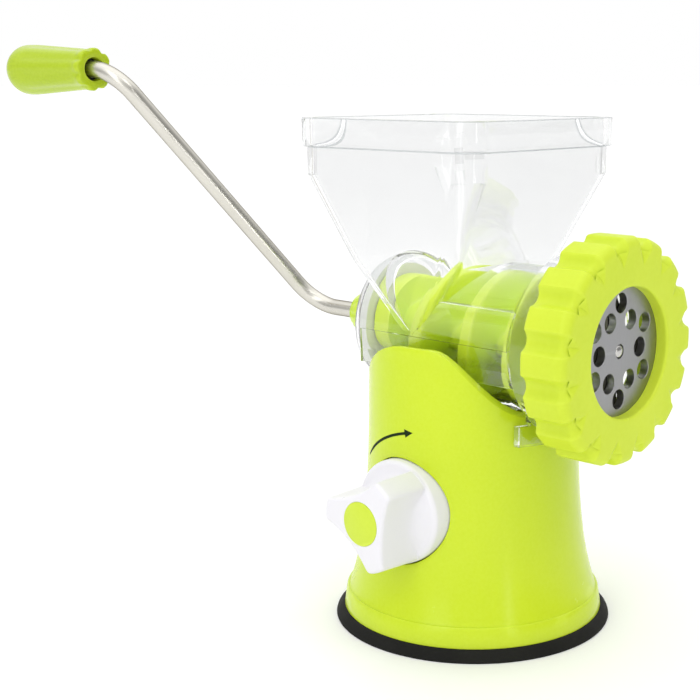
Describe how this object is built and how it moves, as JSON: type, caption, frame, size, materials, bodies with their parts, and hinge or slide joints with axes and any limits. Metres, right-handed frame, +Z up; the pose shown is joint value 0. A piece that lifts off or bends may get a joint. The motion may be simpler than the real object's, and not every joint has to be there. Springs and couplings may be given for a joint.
{
  "type": "hand crank meat grinder",
  "caption": "Table-top meat grinder: clear square hopper and barrel with a feed screw, perforated plate behind a lobed ring nut, bent crank with grip, and a flared stand on a suction foot.",
  "frame": {"origin": "centre of the suction pad's flat underside, on the worktop", "axes": "+Z up; +X along the barrel, out through the grinding plate; -Y is the lock knob's side"},
  "size_m": [0.315, 0.1609, 0.2635],
  "materials": {
    "green_gloss": "glossy moulded lime green",
    "green_nut": "satin-gloss moulded lime green",
    "green_hub": "satin-gloss moulded lime green",
    "green_grip": "glossy moulded lime green",
    "green_cap": "flat printed-looking lime green disc",
    "green_screw": "moulded lime green, slightly paler",
    "white_gloss": "glossy white",
    "clear_plastic": "clear, polished",
    "black_rubber": "matt black rubber",
    "white_silicone": "translucent white silicone",
    "grey_plastic": "matt grey",
    "plain_steel": "plain bright steel",
    "plate_steel": "ground satin steel",
    "rod_steel": "satin stainless steel"
  },
  "bodies": {
    "stand": {"stand_shell": "green_gloss", "suction_pad": "black_rubber", "base_plate": "grey_plastic", "base_screws": "plain_steel", "cam_frame": "grey_plastic", "frame_screws": "plain_steel", "return_spring": "plain_steel", "barrel_hopper": "clear_plastic", "rear_bush": "grey_plastic", "rear_seal": "white_silicone", "plate_key": "plain_steel"},
    "pull_stem": {"pull_stem": "plain_steel", "stem_washer": "plain_steel"},
    "knob": {"cam_shaft": "plain_steel", "lock_knob": "white_gloss", "knob_screw": "plain_steel", "knob_cap": "green_cap", "shaft_clip": "plain_steel"},
    "drive": {"auger": "green_screw", "blade_stud": "plain_steel", "cutter_blade": "plate_steel", "crank_hub": "green_hub", "crank_rod": "rod_steel", "drive_pin": "plain_steel", "grip_clip": "plain_steel"},
    "grip": {"grip": "green_grip", "grip_bush": "grey_plastic"},
    "plate": {"grinding_plate": "plate_steel"},
    "ring_nut": {"ring_nut": "green_nut"}
  },
  "joints": [
    {"name": "knob_turn", "type": "hinge", "parent": "stand", "child": "knob", "pos_m": [0, -0.05, 0.061], "axis": [0, 1, 0], "range_deg": [0, 90]},
    {"name": "suction_lift", "type": "slide", "parent": "stand", "child": "pull_stem", "axis": [0, 0, 1], "range_m": [0, 0.004], "deforming": ["return_spring", "suction_pad"]},
    {"name": "crank_turn", "type": "hinge", "parent": "stand", "child": "drive", "pos_m": [-0.05, 0, 0.1361], "axis": [1, 0, 0], "continuous": true},
    {"name": "grip_spin", "type": "hinge", "parent": "drive", "child": "grip", "pos_m": [-0.2, -0.08388, 0.25155], "axis": [1, 0, 0], "continuous": true},
    {"name": "plate_travel", "type": "slide", "parent": "stand", "child": "plate", "axis": [1, 0, 0], "range_m": [0, 0.01]},
    {"name": "nut_turn", "type": "hinge", "parent": "plate", "child": "ring_nut", "pos_m": [0.075, 0, 0.1361], "axis": [1, 0, 0], "range_deg": [0, 720]}
  ],
  "couplings": [
    {"joint": "knob_turn", "follows": "suction_lift", "rad_per_m": 392.7},
    {"joint": "plate_travel", "follows": "nut_turn", "m_per_rad": 0.00079577}
  ]
}
